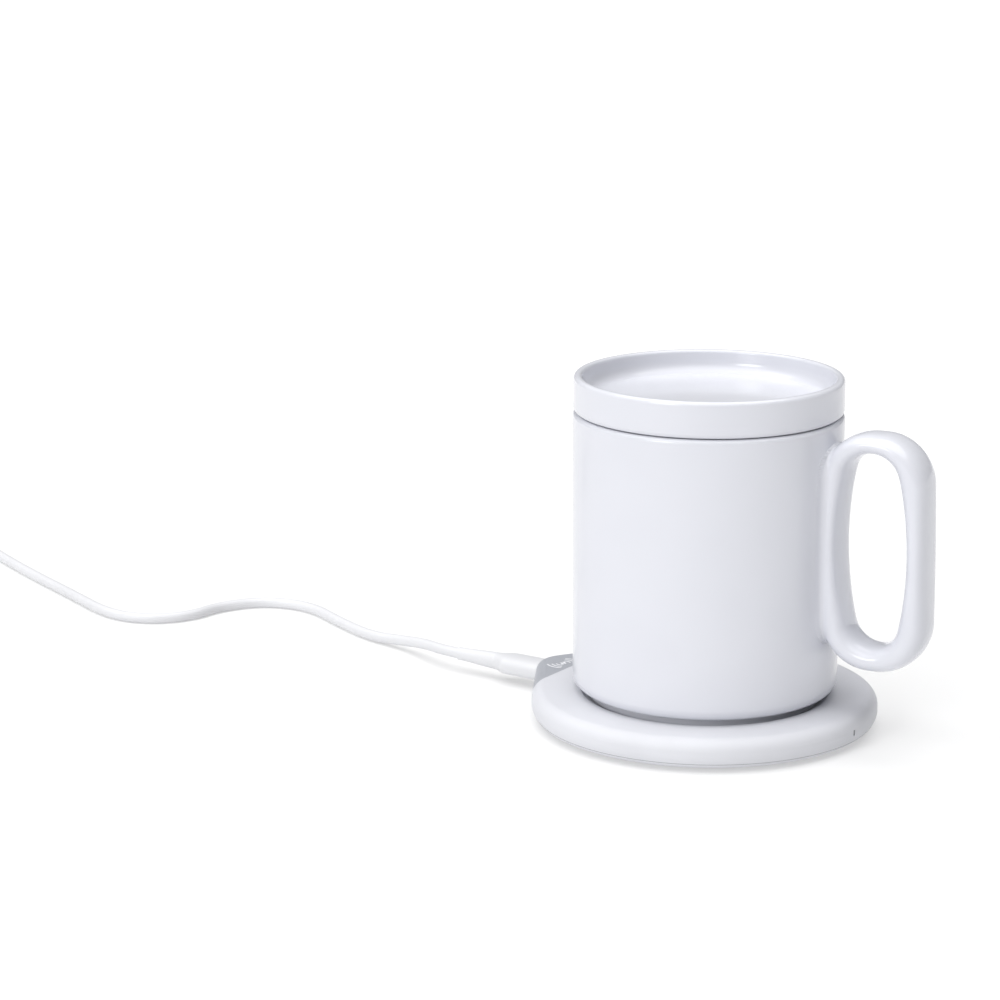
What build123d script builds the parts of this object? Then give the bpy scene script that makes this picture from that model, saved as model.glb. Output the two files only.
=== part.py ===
"""Electric mug warmer set: a warming pad with its plug-in lead, a ceramic mug and its lid.

Millimetres. The origin is the middle of the pad's round body, on the table. +Z is up, the pad's corner
with the lead points along -X, and the mug's handle points close to +X.
"""

import os
from math import atan2, cos, degrees, pi, radians, sin, tan

from build123d import *

os.makedirs("parts", exist_ok=True)

# ---------------------------------------------------------------- mug
mug_turn = 8.0               # degrees from +X to the handle
mug_height = 86.5
mug_rim_radius = 40.0
mug_taper = 0.5              # how much less the radius is at the base
mug_wall = 3.0
mug_floor = 4.6
mug_corner_radius = 3.5
mug_inner_corner_radius = 6.0
mug_lip_radius = 1.4
foot_height = 3.0
foot_inset = 4.7             # from the mug's base radius in to the foot ring
foot_width = 3.8
foot_edge_radius = 0.8
disc_thickness = 1.5
disc_clearance = 0.6
disc_edge = 0.3

handle_bar_pitch = 26.2      # between the centre lines of the two upright bars
handle_stand_off = 0.5       # from the rim's radius out to the inner bar's centre line
handle_top_drop = 0.9        # rim to the top of the handle
handle_bottom_rise = 14.8    # underside of the foot to the bottom of the handle
handle_thick = 7.0           # of the oval strap, across the loop
handle_deep = 15.6           # of the oval strap, along the mug's side
handle_end_radius = 11.5     # of the loop's centre line at its top and bottom

# ---------------------------------------------------------------- lid
lid_inset = 0.2              # inside the mug's rim radius
lid_band_height = 10.7
lid_dish_floor = 4.0         # plate under the dish
lid_rim = 2.6
lid_dish_corner_radius = 3.5
lid_top_inner_radius = 1.0
lid_top_outer_radius = 1.3
lid_bottom_radius = 1.4
lid_plug_gap = 2.2           # between the lid's plug and the mug's inner wall
lid_plug_depth = 5.3
lid_plug_width = 4.0
lid_plug_draft = 0.4
lid_plug_edge_radius = 1.0
lid_seat_gap = 0.2           # between the lid's band and the mug's rim

# ---------------------------------------------------------------- pad: outside
pad_radius = 51.8
corner_stand_out = 7.0       # tip of the rounded corner, outside the round body
corner_radius = 9.6
top_edge_radius = 3.5
bottom_edge_radius = 4.5
mat_inset = 7.8
mat_proud = 0.8              # gap under the bottom shell, which the anti-slip mat fills
mat_seat_depth = 0.6
parting_height = 2.6         # line between the two shells

recess_depth = 1.6
recess_clearance = 1.9       # round the outside of the mug's foot
plateau_clearance = 1.8      # inside the mug's foot, to the raised middle of the recess
plateau_drop = 0.9           # plateau's face below the pad's top face
recess_edge_radius = 0.5

inlay_inset = 6.8            # the inlay's straight edge, inside the pad's radius
inlay_thickness = 1.2

# ---------------------------------------------------------------- pad: walls and fixings
side_wall = 2.6
top_wall = 1.8
recess_floor = 1.6           # plastic left under the ring
plateau_floor = 1.8          # plastic left under the plateau
recess_collar = 2.0
floor_thickness = 2.0
lip_gap = 0.15
lip_thickness = 1.0
lip_height = 1.2

screw_inset = 11.8
screw_count = 4
screw_radius = 1.0
screw_length = 5.2
screw_head_radius = 1.9
screw_head_height = 0.9
screw_drive_radius = 0.8
screw_drive_depth = 0.5
screw_bite = 0.15            # pilot hole's radius under the screw's
screw_clearance = 0.2
boss_radius = 2.6

# ---------------------------------------------------------------- pad: inside
coil_outer_radius = 24.0
coil_inner_radius = 9.0
coil_thickness = 1.2
coil_backing = 0.6           # part of the thickness that is the backing sheet
coil_gap = 0.3               # air above the winding
coil_turns = 6
coil_turn_gap = 0.3
ferrite_margin = 1.0         # ferrite outside the winding
ferrite_thickness = 0.8
ferrite_hole_radius = 4.0
carrier_rim = 2.0
carrier_thickness = 0.8
carrier_post_height = 1.4
carrier_post_radius = 2.0
carrier_post_inset = 7.0
carrier_post_count = 3
pocket_clearance = 1.0
sensor_radius = 1.4

board_thickness = 0.8
board_standoff = 0.4
board_clearance = 0.3
board_gap = 2.0              # between the carrier and the board's straight edge
board_half_width = 18.0
standoff_radius = 1.4
chip_size = 5.0
chip_height = 0.9
chip_inset = 7.0             # from the board's straight edge
chip_side = 4.0              # from the middle of the board
inductor_size = 4.2
inductor_height = 1.9
inductor_inset = 7.5
inductor_side = -7.5
capacitor_length = 2.0
capacitor_width = 1.25
capacitor_height = 1.0
capacitor_pitch = 2.6
capacitor_inset = 12.5
capacitor_count = 4

indicator_angle = -1.5       # degrees from +X
pipe_width = 0.8
pipe_height = 1.8
pipe_recess = 0.3
pipe_length = 3.3
led_depth = 1.4
led_width = 2.0
led_height = 3.2
led_board_length = 5.5
led_board_width = 4.0
ribbon_gap = 3.0             # between the carrier and the ribbon
ribbon_width = 2.0
ribbon_thickness = 0.4
ribbon_start_angle = 163.0
ribbon_overlap = 1.5         # length of ribbon under the indicator's board
lead_width = 1.2
lead_thickness = 0.5
lead_pitch = 5.0
lead_gap = 0.1

# ---------------------------------------------------------------- port and the lead's plug
nose_width = 8.25
nose_tall = 2.4
nose_side_gap = 0.05
nose_face_gap = 0.1
nose_end_gap = 0.2
port_sheet = 0.3
port_back = 0.5
port_length = 7.3
tongue_width = 6.4
tongue_thick = 0.7
tongue_length = 5.3
tongue_gap = 0.3
plug_width = 10.6
plug_tall = 5.8
plug_length = 19.0
plug_shoulder_radius = 2.2
plug_clearance = 0.25
pocket_depth = 1.8           # the plug's front sits this far inside the corner's tip
relief_length = 10.0
relief_start_radius = 2.6
relief_end_wall = 0.25       # round the lead at the relief's thin end

# ---------------------------------------------------------------- lead
cord_diameter = 3.4
coil_spot = (-344.0, 12.5)
coil_mean_radius = 20.0
coil_across = 3              # turns side by side
coil_layers = 2
coil_entry_angle = 62.0
coil_exit_angle = 180.0
tie_width = 8.0
tie_thickness = 0.6
tie_clearance = 0.6
tie_angle = -25.0

usb_x = -370.0
usb_housing_width = 15.6
usb_housing_tall = 8.0
usb_housing_length = 22.0
usb_housing_corner = 1.8
usb_shell_width = 12.0
usb_shell_tall = 4.5
usb_shell_length = 12.0
usb_shell_sheet = 0.35
usb_relief_y = -16.0
usb_relief_length = 8.0
usb_tongue_gap = 0.45
usb_tongue_tall = 1.8
usb_tongue_set_back = 0.6
usb_contact_count = 4
usb_contact_pitch = 2.3
usb_contact_width = 1.1
usb_contact_length = 8.0
usb_contact_thick = 0.2

# ---------------------------------------------------------------- radii and reaches worked out from them
mug_base_radius = mug_rim_radius - mug_taper
foot_outer_radius = mug_base_radius - foot_inset
foot_inner_radius = foot_outer_radius - foot_width
disc_radius = foot_inner_radius - disc_clearance
handle_inner_bar = mug_rim_radius + handle_stand_off
lid_radius = mug_rim_radius - lid_inset
lid_plug_radius = mug_rim_radius - mug_wall - lid_plug_gap

corner_reach = pad_radius + corner_stand_out
mat_radius = pad_radius - mat_inset
recess_radius = foot_outer_radius + recess_clearance
plateau_radius = foot_inner_radius - plateau_clearance
inlay_chord = pad_radius - inlay_inset
screw_circle_radius = pad_radius - screw_inset

ferrite_radius = coil_outer_radius + ferrite_margin
carrier_radius = ferrite_radius + carrier_rim
carrier_post_circle_radius = carrier_radius - carrier_post_inset
board_inner_edge = carrier_radius + board_gap
ribbon_inner_radius = carrier_radius + ribbon_gap
pipe_inner_radius = pad_radius - pipe_recess - pipe_length

port_width = nose_width + 2 * (nose_side_gap + port_sheet)
port_tall = nose_tall + 2 * (nose_face_gap + port_sheet)
nose_length = port_length - port_back - nose_end_gap
nose_bore_width = tongue_width + 2 * tongue_gap
nose_bore_tall = tongue_thick + 2 * tongue_gap
port_front = corner_reach - pocket_depth
plug_rear = port_front + plug_length
relief_rear = plug_rear + relief_length

cord_radius = cord_diameter / 2
relief_end_radius = cord_radius + relief_end_wall
coil_outer_turn_radius = coil_mean_radius + (coil_across - 1) / 2 * cord_diameter
usb_tongue_width = usb_shell_width - 2 * (usb_shell_sheet + usb_tongue_gap)
usb_tongue_length = usb_shell_length - usb_tongue_set_back

# ---------------------------------------------------------------- levels above the table
shell_bottom = mat_proud
mat_top = mat_proud + mat_seat_depth
screw_head_bottom = mat_top
floor_top = shell_bottom + floor_thickness
board_bottom = floor_top + board_standoff
board_top = board_bottom + board_thickness
port_height = board_top + port_tall / 2
indicator_height = board_top + led_height / 2
carrier_bottom = floor_top + carrier_post_height
carrier_top = carrier_bottom + carrier_thickness
ferrite_top = carrier_top + ferrite_thickness
coil_roof = ferrite_top + coil_thickness + coil_gap
plateau_top = coil_roof + plateau_floor
pad_height = plateau_top + plateau_drop
roof = pad_height - top_wall
seat_top = pad_height - recess_depth
recess_roof = seat_top - recess_floor
foot_top = seat_top + foot_height
rim_height = seat_top + mug_height
lid_seat = rim_height + lid_seat_gap
usb_height = usb_housing_tall / 2

# the lead's way over the table, from the pad's plug to the coil
entry = radians(coil_entry_angle)
cord_points = [
    (-relief_rear, 0.0, port_height),
    (-96.0, 0.0, port_height),
    (-106.5, 4.6, 4.9),
    (-118.0, 8.8, 3.0),
    (-133.0, 10.5, cord_radius),
    (-152.0, 18.5, cord_radius),
    (-170.0, 27.5, cord_radius),
    (-187.0, 24.5, cord_radius),
    (-196.0, 10.5, cord_radius),
    (-196.5, -4.5, cord_radius),
    (-205.5, -15.5, cord_radius),
    (-220.5, -18.0, cord_radius),
    (-246.0, -7.0, cord_radius),
    (-279.0, 6.5, cord_radius),
    (-308.0, 20.0, cord_radius),
    (
        coil_spot[0] + coil_outer_turn_radius * cos(entry),
        coil_spot[1] + coil_outer_turn_radius * sin(entry),
        cord_radius,
    ),
]
# the free end, from the top of the coil to the second plug
tail_points = [
    (coil_spot[0] - coil_outer_turn_radius, coil_spot[1], 3 * cord_radius),
    (-368.6, 2.0, 4.6),
    (usb_x, -7.5, usb_height),
    (usb_x, usb_relief_y, usb_height),
]

# ---------------------------------------------------------------- planes and helpers
handle_angle = radians(mug_turn)
indicator_plane = Plane.XY.rotated((0, 0, indicator_angle))
screw_positions = PolarLocations(screw_circle_radius, screw_count, start_angle=45)


def pad_outline(inset):
    """Round pad and small corner circle, both smaller by inset, inside one stretched outline."""
    with BuildSketch(mode=Mode.PRIVATE) as outline:
        Circle(pad_radius - inset)
        with Locations((corner_radius - corner_reach, 0)):
            Circle(corner_radius - inset)
        make_hull()
    return outline.sketch


def pad_block(inset):
    """The pad's outer body without its mat, with every face moved inwards by inset."""
    low = shell_bottom + inset
    high = pad_height - inset
    with BuildPart(mode=Mode.PRIVATE) as block:
        with BuildSketch(Plane.XY.offset(low)):
            add(pad_outline(inset))
        extrude(amount=high - low)
        fillet(block.faces().sort_by(Axis.Z)[-1].edges(), top_edge_radius - inset)
        fillet(block.faces().sort_by(Axis.Z)[0].edges(), bottom_edge_radius - inset)
    return block.part


def port_plane(distance):
    """Plane across the port's axis, at a distance from the pad's centre, looking out along the lead."""
    return Plane(origin=(-distance, 0, port_height), x_dir=(0, -1, 0), z_dir=(-1, 0, 0))


def usb_plane(y):
    """Plane across the axis of the second plug, looking away from the coil."""
    return Plane(origin=(usb_x, y, usb_height), x_dir=(1, 0, 0), z_dir=(0, -1, 0))


def long_oval(left, right, low, high, end_radius):
    """Closed line of two slim side arcs and two end arcs that run into each other, from the right."""
    middle_x, middle_z = (left + right) / 2, (low + high) / 2
    half_width, end_rise = (right - left) / 2, (high - low) / 2 - end_radius
    side_radius = (half_width**2 + end_rise**2 - end_radius**2) / (2 * (half_width - end_radius))
    side_offset = side_radius - half_width
    share = degrees(atan2(end_rise, side_offset))
    CenterArc((middle_x - side_offset, middle_z), side_radius, 0, share)
    CenterArc((middle_x, middle_z + end_rise), end_radius, share, 180 - 2 * share)
    CenterArc((middle_x + side_offset, middle_z), side_radius, 180 - share, 2 * share)
    CenterArc((middle_x, middle_z - end_rise), end_radius, 180 + share, 180 - 2 * share)
    CenterArc((middle_x - side_offset, middle_z), side_radius, -share, share)


def bend_radii(points):
    """Radius of the arc at each inner point: 0.45 of the shorter run over the tangent of half the turn."""
    radii = []
    for before, point, after in zip(points, points[1:], points[2:]):
        run_in = Vector(point) - Vector(before)
        run_out = Vector(after) - Vector(point)
        half_turn = radians(run_in.get_angle(run_out)) / 2
        radii.append(0.45 * min(run_in.length, run_out.length) / tan(half_turn))
    return radii


pad_outside = pad_block(0)
inlay_core = pad_block(inlay_thickness)

# ================================================================ pad

# pocket round the port that the plug's front sits in
with BuildPart() as plug_pocket:
    with BuildSketch(port_plane(port_front)):
        SlotOverall(plug_width + 2 * plug_clearance, plug_tall + 2 * plug_clearance)
    extrude(amount=pocket_depth + bottom_edge_radius)
    with BuildSketch(port_plane(port_front)):
        SlotOverall(port_width, port_tall)
    extrude(amount=-port_length)

with BuildPart(indicator_plane) as light_pipe:
    with Locations((pipe_inner_radius, 0, indicator_height)):
        Box(
            pad_radius - pipe_recess - pipe_inner_radius,
            pipe_width,
            pipe_height,
            align=(Align.MIN, Align.CENTER, Align.CENTER),
        )

with BuildPart(indicator_plane) as pipe_slot:
    with Locations((pipe_inner_radius, 0, indicator_height)):
        Box(
            pad_radius - pipe_inner_radius + pipe_recess,
            pipe_width,
            pipe_height,
            align=(Align.MIN, Align.CENTER, Align.CENTER),
        )

with BuildPart() as corner_inlay:
    add(pad_outside)
    add(inlay_core, mode=Mode.SUBTRACT)
    split(bisect_by=Plane.XY.offset(parting_height), keep=Keep.TOP)
    split(bisect_by=Plane.YZ.offset(-inlay_chord), keep=Keep.BOTTOM)
    add(plug_pocket.part, mode=Mode.SUBTRACT)

with BuildPart() as top_shell:
    add(pad_outside)
    split(bisect_by=Plane.XY.offset(parting_height), keep=Keep.TOP)
    # inside of the shell, with a thicker plate left under the recess
    with BuildSketch(Plane.XY.offset(parting_height)):
        add(pad_outline(side_wall))
    extrude(amount=roof - parting_height, mode=Mode.SUBTRACT)
    with BuildSketch(Plane.XY.offset(recess_roof)):
        Circle(recess_radius + recess_collar)
    extrude(amount=roof - recess_roof)
    with BuildSketch(Plane.XY.offset(recess_roof)):
        Circle(coil_outer_radius + pocket_clearance)
    extrude(amount=coil_roof - recess_roof, mode=Mode.SUBTRACT)
    # ring and plateau that the mug's foot stands round
    with BuildSketch(Plane.XY.offset(plateau_top)):
        Circle(recess_radius)
    extrude(amount=plateau_drop, mode=Mode.SUBTRACT)
    with BuildSketch(Plane.XY.offset(seat_top)):
        Circle(recess_radius)
        Circle(plateau_radius, mode=Mode.SUBTRACT)
    extrude(amount=plateau_top - seat_top, mode=Mode.SUBTRACT)
    # the recess's rim is the only full circle among the highest edges
    highest_edges = top_shell.edges().group_by(Axis.Z)[-1]
    fillet(highest_edges.filter_by(lambda edge: edge.is_closed), recess_edge_radius)
    # bosses for the case screws
    with BuildSketch(Plane.XY.offset(floor_top)):
        with screw_positions:
            Circle(boss_radius)
    extrude(amount=roof - floor_top)
    with BuildSketch(Plane.XY.offset(floor_top)):
        with screw_positions:
            Circle(screw_radius - screw_bite)
    extrude(amount=screw_head_bottom + screw_length + screw_clearance - floor_top, mode=Mode.SUBTRACT)
    add(corner_inlay.part, mode=Mode.SUBTRACT)
    add(plug_pocket.part, mode=Mode.SUBTRACT)
    add(pipe_slot.part, mode=Mode.SUBTRACT)

with BuildPart() as circuit_board:
    with BuildSketch(Plane.XY.offset(board_bottom)):
        add(pad_outline(side_wall + lip_gap + lip_thickness + board_clearance))
        with Locations((-board_inner_edge, 0)):
            Rectangle(
                corner_reach, 2 * board_half_width, align=(Align.MAX, Align.CENTER), mode=Mode.INTERSECT
            )
    extrude(amount=board_thickness)
board_box = circuit_board.part.bounding_box()
board_corners = [
    (-board_inner_edge - 2 * standoff_radius, side * (board_half_width - 2 * standoff_radius))
    for side in (-1, 1)
]
board_corners += [
    (board_box.min.X + 3 * standoff_radius, side * 3 * standoff_radius) for side in (-1, 1)
]

with BuildPart() as bottom_shell:
    add(pad_outside)
    split(bisect_by=Plane.XY.offset(parting_height), keep=Keep.BOTTOM)
    with BuildSketch(Plane.XY.offset(parting_height)):
        add(pad_outline(side_wall + lip_gap))
    extrude(amount=floor_top - parting_height)
    # lip that centres the top shell
    with BuildSketch(Plane.XY.offset(floor_top)):
        add(pad_outline(side_wall + lip_gap))
        add(pad_outline(side_wall + lip_gap + lip_thickness), mode=Mode.SUBTRACT)
    extrude(amount=lip_height)
    # seat of the anti-slip mat
    with BuildSketch(Plane.XY.offset(shell_bottom)):
        Circle(mat_radius)
    extrude(amount=mat_seat_depth, mode=Mode.SUBTRACT)
    # posts under the coil carrier, standoffs under the board and the block under the indicator
    with BuildSketch(Plane.XY.offset(floor_top)):
        with PolarLocations(carrier_post_circle_radius, carrier_post_count):
            Circle(carrier_post_radius)
    extrude(amount=carrier_post_height)
    with BuildSketch(Plane.XY.offset(floor_top)):
        with Locations(*board_corners):
            Circle(standoff_radius)
    extrude(amount=board_standoff)
    with BuildSketch(indicator_plane.offset(floor_top)):
        with Locations((pipe_inner_radius - led_depth / 2, 0)):
            Rectangle(
                led_board_length / 2, led_board_width, align=(Align.MAX, Align.CENTER)
            )
    extrude(amount=board_standoff)
    # room for the bosses' screws
    with BuildSketch(Plane.XY.offset(shell_bottom)):
        with screw_positions:
            Circle(screw_radius + screw_clearance)
    extrude(amount=floor_thickness, mode=Mode.SUBTRACT)
    with screw_positions:
        with Locations((0, 0, screw_head_bottom)):
            Cone(
                screw_head_radius,
                screw_radius + screw_clearance,
                screw_head_height,
                align=(Align.CENTER, Align.CENTER, Align.MIN),
                mode=Mode.SUBTRACT,
            )
    add(plug_pocket.part, mode=Mode.SUBTRACT)

with BuildPart() as case_screws:
    with screw_positions:
        with Locations((0, 0, screw_head_bottom)):
            Cone(
                screw_head_radius,
                screw_radius,
                screw_head_height,
                align=(Align.CENTER, Align.CENTER, Align.MIN),
            )
            Cylinder(
                screw_radius - screw_bite,
                screw_length,
                align=(Align.CENTER, Align.CENTER, Align.MIN),
            )
            Cylinder(
                screw_drive_radius,
                screw_drive_depth,
                align=(Align.CENTER, Align.CENTER, Align.MIN),
                mode=Mode.SUBTRACT,
            )

with BuildPart() as anti_slip_mat:
    with BuildSketch():
        Circle(mat_radius)
    extrude(amount=mat_top)
    chamfer(anti_slip_mat.faces().sort_by(Axis.Z)[0].edges(), mat_proud / 2)

# ================================================================ inside the pad

with BuildPart() as coil_carrier:
    with BuildSketch(Plane.XY.offset(carrier_bottom)):
        Circle(carrier_radius)
    extrude(amount=carrier_thickness)
    with BuildSketch(Plane.XY.offset(carrier_top)):
        Circle(carrier_radius)
        Circle(ferrite_radius, mode=Mode.SUBTRACT)
    extrude(amount=ferrite_thickness)

with BuildPart() as ferrite_sheet:
    with BuildSketch(Plane.XY.offset(carrier_top)):
        Circle(ferrite_radius)
        Circle(ferrite_hole_radius, mode=Mode.SUBTRACT)
    extrude(amount=ferrite_thickness)

# winding: flat rings of wire with a thin backing sheet
winding_pitch = (coil_outer_radius - coil_inner_radius + coil_turn_gap) / coil_turns
with BuildPart() as power_coil:
    with BuildSketch(Plane.XY.offset(ferrite_top)):
        Circle(coil_outer_radius)
        Circle(coil_inner_radius, mode=Mode.SUBTRACT)
    extrude(amount=coil_backing)
    with BuildSketch(Plane.XY.offset(ferrite_top + coil_backing)):
        for turn in range(coil_turns):
            turn_radius = coil_outer_radius - turn * winding_pitch
            Circle(turn_radius)
            Circle(turn_radius - winding_pitch + coil_turn_gap, mode=Mode.SUBTRACT)
    extrude(amount=coil_thickness - coil_backing)

with BuildPart() as temperature_sensor:
    with BuildSketch(Plane.XY.offset(carrier_top)):
        Circle(sensor_radius)
    extrude(amount=coil_roof - carrier_top)

with BuildPart() as control_chip:
    with BuildSketch(Plane.XY.offset(board_top)):
        with Locations((-board_inner_edge - chip_inset, chip_side)):
            Rectangle(chip_size, chip_size)
    extrude(amount=chip_height)

with BuildPart() as power_inductor:
    with BuildSketch(Plane.XY.offset(board_top)):
        with Locations((-board_inner_edge - inductor_inset, inductor_side)):
            RectangleRounded(inductor_size, inductor_size, inductor_size / 5)
    extrude(amount=inductor_height)

with BuildPart() as capacitors:
    with BuildSketch(Plane.XY.offset(board_top)):
        with Locations((-board_inner_edge - capacitor_inset, 0)):
            with GridLocations(capacitor_length, capacitor_pitch, 1, capacitor_count):
                Rectangle(capacitor_length, capacitor_width)
    extrude(amount=capacitor_height)

with BuildPart(indicator_plane) as indicator_led:
    with Locations((pipe_inner_radius, 0, indicator_height)):
        Box(led_depth, led_width, led_height, align=(Align.MAX, Align.CENTER, Align.CENTER))

with BuildPart(indicator_plane) as led_board:
    with Locations((pipe_inner_radius - led_depth / 2, 0, board_bottom)):
        Box(
            led_board_length,
            led_board_width,
            board_thickness,
            align=(Align.MAX, Align.CENTER, Align.MIN),
        )

# flat ribbon on the floor, from under the board round the carrier to the indicator's board
led_board_edge = pipe_inner_radius - led_depth / 2 - led_board_length
with BuildPart() as led_ribbon:
    with BuildSketch(Plane.XY.offset(floor_top)):
        with BuildLine():
            CenterArc(
                (0, 0),
                ribbon_inner_radius + ribbon_width / 2,
                indicator_angle,
                ribbon_start_angle - indicator_angle,
            )
        trace(line_width=ribbon_width)
    extrude(amount=ribbon_thickness)
    with BuildSketch(indicator_plane.offset(floor_top)):
        with Locations((ribbon_inner_radius, 0)):
            Rectangle(
                led_board_edge + ribbon_overlap - ribbon_inner_radius,
                ribbon_width,
                align=(Align.MIN, Align.CENTER),
            )
    extrude(amount=ribbon_thickness)

# two leads from the winding over the carrier's rim, down to the board
lead_sides = [Plane.XZ.offset(side * lead_pitch / 2 - lead_width / 2) for side in (-1, 1)]
with BuildPart() as coil_leads:
    with BuildSketch(*lead_sides):
        with BuildLine():
            lead_middle = ferrite_top + lead_thickness / 2
            Polyline(
                (-coil_outer_radius - lead_gap, lead_middle),
                (-board_inner_edge - lead_width, lead_middle),
                (-board_inner_edge - lead_width, board_top),
            )
        trace(line_width=lead_thickness)
    extrude(amount=lead_width)

# ================================================================ port and plug

with BuildPart() as usb_port_shell:
    with BuildSketch(port_plane(port_front)):
        SlotOverall(port_width, port_tall)
    extrude(amount=-port_length)
    with BuildSketch(port_plane(port_front)):
        SlotOverall(port_width - 2 * port_sheet, port_tall - 2 * port_sheet)
    extrude(amount=-(port_length - port_back), mode=Mode.SUBTRACT)

with BuildPart() as usb_port_tongue:
    with BuildSketch(port_plane(port_front - port_length + port_back)):
        Rectangle(tongue_width, tongue_thick)
    extrude(amount=tongue_length)

with BuildPart() as plug_nose:
    with BuildSketch(port_plane(port_front)):
        SlotOverall(nose_width, nose_tall)
        SlotOverall(nose_bore_width, nose_bore_tall, mode=Mode.SUBTRACT)
    extrude(amount=-nose_length)

with BuildPart() as plug_housing:
    with BuildSketch(port_plane(port_front)):
        SlotOverall(plug_width, plug_tall)
    extrude(amount=plug_length)
    fillet(plug_housing.faces().sort_by(Axis.X)[0].edges(), plug_shoulder_radius)

with BuildPart() as plug_strain_relief:
    with BuildSketch(port_plane(plug_rear)):
        Circle(relief_start_radius)
    with BuildSketch(port_plane(relief_rear)):
        Circle(relief_end_radius)
    loft()

# ================================================================ mug

mug_inner_rim = mug_rim_radius - mug_wall
mug_inner_base = mug_base_radius - mug_wall
mug_profile = [
    (0, foot_top),
    (foot_inner_radius, foot_top),
    (foot_inner_radius, seat_top),
    (foot_outer_radius, seat_top),
    (foot_outer_radius, foot_top),
    (mug_base_radius, foot_top),
    (mug_rim_radius, rim_height),
    (mug_inner_rim, rim_height),
    (mug_inner_base, foot_top + mug_floor),
    (0, foot_top + mug_floor),
]
mug_profile_radii = [
    0,
    0,
    foot_edge_radius,
    foot_edge_radius,
    0,
    mug_corner_radius,
    mug_lip_radius,
    mug_lip_radius,
    mug_inner_corner_radius,
    0,
]
with BuildPart() as mug_body:
    with BuildSketch(Plane.XZ):
        with BuildLine():
            FilletPolyline(*mug_profile, radius=mug_profile_radii, close=True)
        make_face()
    revolve(axis=Axis.Z)

# the mug without its hollow, to trim the handle where it joins the wall
with BuildPart() as mug_envelope:
    with BuildSketch(Plane.XZ):
        with BuildLine():
            Polyline(
                (0, foot_top),
                (mug_base_radius, foot_top),
                (mug_rim_radius, rim_height),
                (0, rim_height),
                close=True,
            )
        make_face()
    revolve(axis=Axis.Z)

handle_plane = Plane(
    origin=(0, 0, 0),
    x_dir=(cos(handle_angle), sin(handle_angle), 0),
    z_dir=(sin(handle_angle), -cos(handle_angle), 0),
)
handle_high = rim_height - handle_top_drop - handle_thick / 2
handle_low = seat_top + handle_bottom_rise + handle_thick / 2
handle_outer_bar = handle_inner_bar + handle_bar_pitch
handle_start = (
    handle_outer_bar * cos(handle_angle),
    handle_outer_bar * sin(handle_angle),
    (handle_high + handle_low) / 2,
)
with BuildPart() as mug_handle:
    with BuildLine(handle_plane) as handle_path:
        long_oval(
            handle_inner_bar,
            handle_outer_bar,
            handle_low,
            handle_high,
            min(handle_end_radius, 0.45 * handle_bar_pitch),
        )
    with BuildSketch(
        Plane(origin=handle_start, x_dir=(cos(handle_angle), sin(handle_angle), 0), z_dir=(0, 0, 1))
    ):
        Ellipse(handle_thick / 2, handle_deep / 2)
    sweep(path=handle_path.wires()[0])
    add(mug_envelope.part, mode=Mode.SUBTRACT)

with BuildPart() as heating_disc:
    with BuildSketch(Plane.XY.offset(foot_top - disc_thickness)):
        Circle(disc_radius)
    extrude(amount=disc_thickness)
    chamfer(heating_disc.faces().sort_by(Axis.Z)[0].edges(), disc_edge)

# ================================================================ lid

lid_dish_radius = lid_radius - lid_rim
lid_profile = [
    (0, lid_seat + lid_dish_floor),
    (lid_dish_radius, lid_seat + lid_dish_floor),
    (lid_dish_radius, lid_seat + lid_band_height),
    (lid_radius, lid_seat + lid_band_height),
    (lid_radius, lid_seat),
    (lid_plug_radius, lid_seat),
    (lid_plug_radius - lid_plug_draft, lid_seat - lid_plug_depth),
    (lid_plug_radius - lid_plug_width, lid_seat - lid_plug_depth),
    (lid_plug_radius - lid_plug_width, lid_seat),
    (0, lid_seat),
]
lid_profile_radii = [
    0,
    lid_dish_corner_radius,
    lid_top_inner_radius,
    lid_top_outer_radius,
    lid_bottom_radius,
    0,
    lid_plug_edge_radius,
    lid_plug_edge_radius,
    lid_plug_edge_radius,
    0,
]
with BuildPart() as lid:
    with BuildSketch(Plane.XZ):
        with BuildLine():
            FilletPolyline(*lid_profile, radius=lid_profile_radii, close=True)
        make_face()
    revolve(axis=Axis.Z)

# ================================================================ lead


def cord_tube(points, start_plane):
    """Round tube along straight runs joined by arcs, starting square on start_plane."""
    with BuildPart(mode=Mode.PRIVATE) as tube:
        with BuildLine() as path:
            FilletPolyline(*points, radius=bend_radii(points))
        with BuildSketch(start_plane):
            Circle(cord_radius)
        sweep(path=path.wires()[0])
    return tube.part, path.wires()[0].length


def square_start(points):
    """Plane at the first point, across the first run."""
    return Plane(origin=points[0], z_dir=Vector(points[1]) - Vector(points[0]))


run_tube, run_length = cord_tube(cord_points, square_start(cord_points))
with BuildPart() as cord_run:
    add(run_tube)

tail_tube, tail_length = cord_tube(tail_points, square_start(tail_points))
with BuildPart() as cord_tail:
    add(tail_tube)

coil_axis = Axis((coil_spot[0], coil_spot[1], 0), (0, 0, 1))
coil_width = coil_across * cord_diameter
coil_height = coil_layers * cord_diameter
tie_direction = (cos(radians(tie_angle)), sin(radians(tie_angle)), 0)
tie_plane = Plane(
    origin=(
        coil_spot[0] + coil_mean_radius * tie_direction[0],
        coil_spot[1] + coil_mean_radius * tie_direction[1],
        0,
    ),
    x_dir=tie_direction,
    z_dir=(tie_direction[1], -tie_direction[0], 0),
)
with BuildPart() as coil_tie:
    with BuildSketch(tie_plane):
        with Locations((0, (coil_height + tie_thickness) / 2)):
            RectangleRounded(
                coil_width + 2 * (tie_clearance + tie_thickness),
                coil_height + tie_thickness,
                cord_radius,
            )
        with Locations((0, (coil_height + tie_thickness) / 2)):
            RectangleRounded(
                coil_width + 2 * tie_clearance,
                coil_height - tie_thickness,
                cord_radius - tie_thickness,
                mode=Mode.SUBTRACT,
            )
    extrude(amount=tie_width / 2, both=True)

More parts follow.
